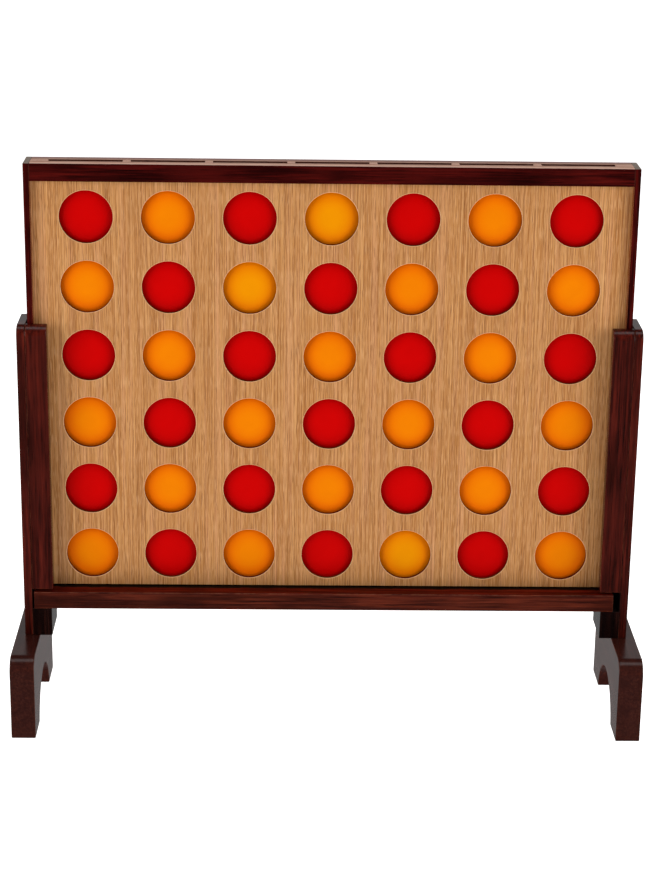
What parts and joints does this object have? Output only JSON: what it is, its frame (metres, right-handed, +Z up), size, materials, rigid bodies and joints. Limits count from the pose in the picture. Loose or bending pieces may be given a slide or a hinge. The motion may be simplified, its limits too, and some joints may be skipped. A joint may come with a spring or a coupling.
{
  "type": "giant four in a row",
  "caption": "Free-standing wooden lawn game: round counters stack in columns between drilled panels on arched feet, and drop out when the loose bar under them is pulled.",
  "frame": {"origin": "on the ground, midway between the four feet pads", "axes": "+X to the right seen from the front, +Y towards the back, +Z up; the front panel faces -Y"},
  "size_m": [0.907, 0.25, 0.817],
  "materials": {
    "oak_veneer": "satin lacquered oak veneer, vertical straight grain",
    "raw_wood": "sanded, unfinished",
    "mahogany_stain": "dark mahogany stain under gloss lacquer",
    "red_brown_stain": "red-brown stain under gloss lacquer, grain along the bar",
    "red_plastic": "satin moulded plastic",
    "orange_plastic": "satin moulded plastic",
    "zinc_plated_steel": "zinc plated"
  },
  "bodies": {
    "frame": {"front_panel": "oak_veneer", "rear_panel": "oak_veneer", "front_top_rail": "mahogany_stain", "rear_top_rail": "mahogany_stain", "left_stile": "mahogany_stain", "right_stile": "mahogany_stain", "column_dividers": "raw_wood", "end_spacers": "raw_wood", "left_cheek": "mahogany_stain", "right_cheek": "mahogany_stain", "left_lip": "mahogany_stain", "right_lip": "mahogany_stain", "bar_ledges": "mahogany_stain", "left_foot": "mahogany_stain", "right_foot": "mahogany_stain", "frame_bolts": "zinc_plated_steel", "threaded_inserts": "zinc_plated_steel"},
    "release_bar": {"release_bar": "red_brown_stain"},
    "counter_a6": {"counter_a6": "red_plastic"},
    "counter_b6": {"counter_b6": "orange_plastic"},
    "counter_c6": {"counter_c6": "red_plastic"},
    "counter_d6": {"counter_d6": "orange_plastic"},
    "counter_e6": {"counter_e6": "red_plastic"},
    "counter_f6": {"counter_f6": "orange_plastic"},
    "counter_g6": {"counter_g6": "red_plastic"},
    "counter_a5": {"counter_a5": "orange_plastic"},
    "counter_b5": {"counter_b5": "red_plastic"},
    "counter_c5": {"counter_c5": "orange_plastic"},
    "counter_d5": {"counter_d5": "red_plastic"},
    "counter_e5": {"counter_e5": "orange_plastic"},
    "counter_f5": {"counter_f5": "red_plastic"},
    "counter_g5": {"counter_g5": "orange_plastic"},
    "counter_a4": {"counter_a4": "red_plastic"},
    "counter_b4": {"counter_b4": "orange_plastic"},
    "counter_c4": {"counter_c4": "red_plastic"},
    "counter_d4": {"counter_d4": "orange_plastic"},
    "counter_e4": {"counter_e4": "red_plastic"},
    "counter_f4": {"counter_f4": "orange_plastic"},
    "counter_g4": {"counter_g4": "red_plastic"},
    "counter_a3": {"counter_a3": "orange_plastic"},
    "counter_b3": {"counter_b3": "red_plastic"},
    "counter_c3": {"counter_c3": "orange_plastic"},
    "counter_d3": {"counter_d3": "red_plastic"},
    "counter_e3": {"counter_e3": "orange_plastic"},
    "counter_f3": {"counter_f3": "red_plastic"},
    "counter_g3": {"counter_g3": "orange_plastic"},
    "counter_a2": {"counter_a2": "red_plastic"},
    "counter_b2": {"counter_b2": "orange_plastic"},
    "counter_c2": {"counter_c2": "red_plastic"},
    "counter_d2": {"counter_d2": "orange_plastic"},
    "counter_e2": {"counter_e2": "red_plastic"},
    "counter_f2": {"counter_f2": "orange_plastic"},
    "counter_g2": {"counter_g2": "red_plastic"},
    "counter_a1": {"counter_a1": "orange_plastic"},
    "counter_b1": {"counter_b1": "red_plastic"},
    "counter_c1": {"counter_c1": "orange_plastic"},
    "counter_d1": {"counter_d1": "red_plastic"},
    "counter_e1": {"counter_e1": "orange_plastic"},
    "counter_f1": {"counter_f1": "red_plastic"},
    "counter_g1": {"counter_g1": "orange_plastic"}
  },
  "joints": [
    {"name": "release_bar_pull", "type": "slide", "parent": "frame", "child": "release_bar", "axis": [0, -1, 0], "range_m": [0, 0.07]},
    {"name": "counter_a6_lift", "type": "slide", "parent": "counter_a5", "child": "counter_a6", "axis": [0, 0, 1], "range_m": [0, 0.13]},
    {"name": "counter_b6_lift", "type": "slide", "parent": "counter_b5", "child": "counter_b6", "axis": [0, 0, 1], "range_m": [0, 0.13]},
    {"name": "counter_c6_lift", "type": "slide", "parent": "counter_c5", "child": "counter_c6", "axis": [0, 0, 1], "range_m": [0, 0.13]},
    {"name": "counter_d6_lift", "type": "slide", "parent": "counter_d5", "child": "counter_d6", "axis": [0, 0, 1], "range_m": [0, 0.13]},
    {"name": "counter_e6_lift", "type": "slide", "parent": "counter_e5", "child": "counter_e6", "axis": [0, 0, 1], "range_m": [0, 0.13]},
    {"name": "counter_f6_lift", "type": "slide", "parent": "counter_f5", "child": "counter_f6", "axis": [0, 0, 1], "range_m": [0, 0.13]},
    {"name": "counter_g6_lift", "type": "slide", "parent": "counter_g5", "child": "counter_g6", "axis": [0, 0, 1], "range_m": [0, 0.13]},
    {"name": "counter_a5_lift", "type": "slide", "parent": "counter_a4", "child": "counter_a5", "axis": [0, 0, 1], "range_m": [0, 0.13]},
    {"name": "counter_b5_lift", "type": "slide", "parent": "counter_b4", "child": "counter_b5", "axis": [0, 0, 1], "range_m": [0, 0.13]},
    {"name": "counter_c5_lift", "type": "slide", "parent": "counter_c4", "child": "counter_c5", "axis": [0, 0, 1], "range_m": [0, 0.13]},
    {"name": "counter_d5_lift", "type": "slide", "parent": "counter_d4", "child": "counter_d5", "axis": [0, 0, 1], "range_m": [0, 0.13]},
    {"name": "counter_e5_lift", "type": "slide", "parent": "counter_e4", "child": "counter_e5", "axis": [0, 0, 1], "range_m": [0, 0.13]},
    {"name": "counter_f5_lift", "type": "slide", "parent": "counter_f4", "child": "counter_f5", "axis": [0, 0, 1], "range_m": [0, 0.13]},
    {"name": "counter_g5_lift", "type": "slide", "parent": "counter_g4", "child": "counter_g5", "axis": [0, 0, 1], "range_m": [0, 0.13]},
    {"name": "counter_a4_lift", "type": "slide", "parent": "counter_a3", "child": "counter_a4", "axis": [0, 0, 1], "range_m": [0, 0.13]},
    {"name": "counter_b4_lift", "type": "slide", "parent": "counter_b3", "child": "counter_b4", "axis": [0, 0, 1], "range_m": [0, 0.13]},
    {"name": "counter_c4_lift", "type": "slide", "parent": "counter_c3", "child": "counter_c4", "axis": [0, 0, 1], "range_m": [0, 0.13]},
    {"name": "counter_d4_lift", "type": "slide", "parent": "counter_d3", "child": "counter_d4", "axis": [0, 0, 1], "range_m": [0, 0.13]},
    {"name": "counter_e4_lift", "type": "slide", "parent": "counter_e3", "child": "counter_e4", "axis": [0, 0, 1], "range_m": [0, 0.13]},
    {"name": "counter_f4_lift", "type": "slide", "parent": "counter_f3", "child": "counter_f4", "axis": [0, 0, 1], "range_m": [0, 0.13]},
    {"name": "counter_g4_lift", "type": "slide", "parent": "counter_g3", "child": "counter_g4", "axis": [0, 0, 1], "range_m": [0, 0.13]},
    {"name": "counter_a3_lift", "type": "slide", "parent": "counter_a2", "child": "counter_a3", "axis": [0, 0, 1], "range_m": [0, 0.13]},
    {"name": "counter_b3_lift", "type": "slide", "parent": "counter_b2", "child": "counter_b3", "axis": [0, 0, 1], "range_m": [0, 0.13]},
    {"name": "counter_c3_lift", "type": "slide", "parent": "counter_c2", "child": "counter_c3", "axis": [0, 0, 1], "range_m": [0, 0.13]},
    {"name": "counter_d3_lift", "type": "slide", "parent": "counter_d2", "child": "counter_d3", "axis": [0, 0, 1], "range_m": [0, 0.13]},
    {"name": "counter_e3_lift", "type": "slide", "parent": "counter_e2", "child": "counter_e3", "axis": [0, 0, 1], "range_m": [0, 0.13]},
    {"name": "counter_f3_lift", "type": "slide", "parent": "counter_f2", "child": "counter_f3", "axis": [0, 0, 1], "range_m": [0, 0.13]},
    {"name": "counter_g3_lift", "type": "slide", "parent": "counter_g2", "child": "counter_g3", "axis": [0, 0, 1], "range_m": [0, 0.13]},
    {"name": "counter_a2_lift", "type": "slide", "parent": "counter_a1", "child": "counter_a2", "axis": [0, 0, 1], "range_m": [0, 0.13]},
    {"name": "counter_b2_lift", "type": "slide", "parent": "counter_b1", "child": "counter_b2", "axis": [0, 0, 1], "range_m": [0, 0.13]},
    {"name": "counter_c2_lift", "type": "slide", "parent": "counter_c1", "child": "counter_c2", "axis": [0, 0, 1], "range_m": [0, 0.13]},
    {"name": "counter_d2_lift", "type": "slide", "parent": "counter_d1", "child": "counter_d2", "axis": [0, 0, 1], "range_m": [0, 0.13]},
    {"name": "counter_e2_lift", "type": "slide", "parent": "counter_e1", "child": "counter_e2", "axis": [0, 0, 1], "range_m": [0, 0.13]},
    {"name": "counter_f2_lift", "type": "slide", "parent": "counter_f1", "child": "counter_f2", "axis": [0, 0, 1], "range_m": [0, 0.13]},
    {"name": "counter_g2_lift", "type": "slide", "parent": "counter_g1", "child": "counter_g2", "axis": [0, 0, 1], "range_m": [0, 0.13]},
    {"name": "counter_a1_lift", "type": "slide", "parent": "frame", "child": "counter_a1", "axis": [0, 0, 1], "range_m": [0, 0.13]},
    {"name": "counter_b1_lift", "type": "slide", "parent": "frame", "child": "counter_b1", "axis": [0, 0, 1], "range_m": [0, 0.13]},
    {"name": "counter_c1_lift", "type": "slide", "parent": "frame", "child": "counter_c1", "axis": [0, 0, 1], "range_m": [0, 0.13]},
    {"name": "counter_d1_lift", "type": "slide", "parent": "frame", "child": "counter_d1", "axis": [0, 0, 1], "range_m": [0, 0.13]},
    {"name": "counter_e1_lift", "type": "slide", "parent": "frame", "child": "counter_e1", "axis": [0, 0, 1], "range_m": [0, 0.13]},
    {"name": "counter_f1_lift", "type": "slide", "parent": "frame", "child": "counter_f1", "axis": [0, 0, 1], "range_m": [0, 0.13]},
    {"name": "counter_g1_lift", "type": "slide", "parent": "frame", "child": "counter_g1", "axis": [0, 0, 1], "range_m": [0, 0.13]}
  ]
}
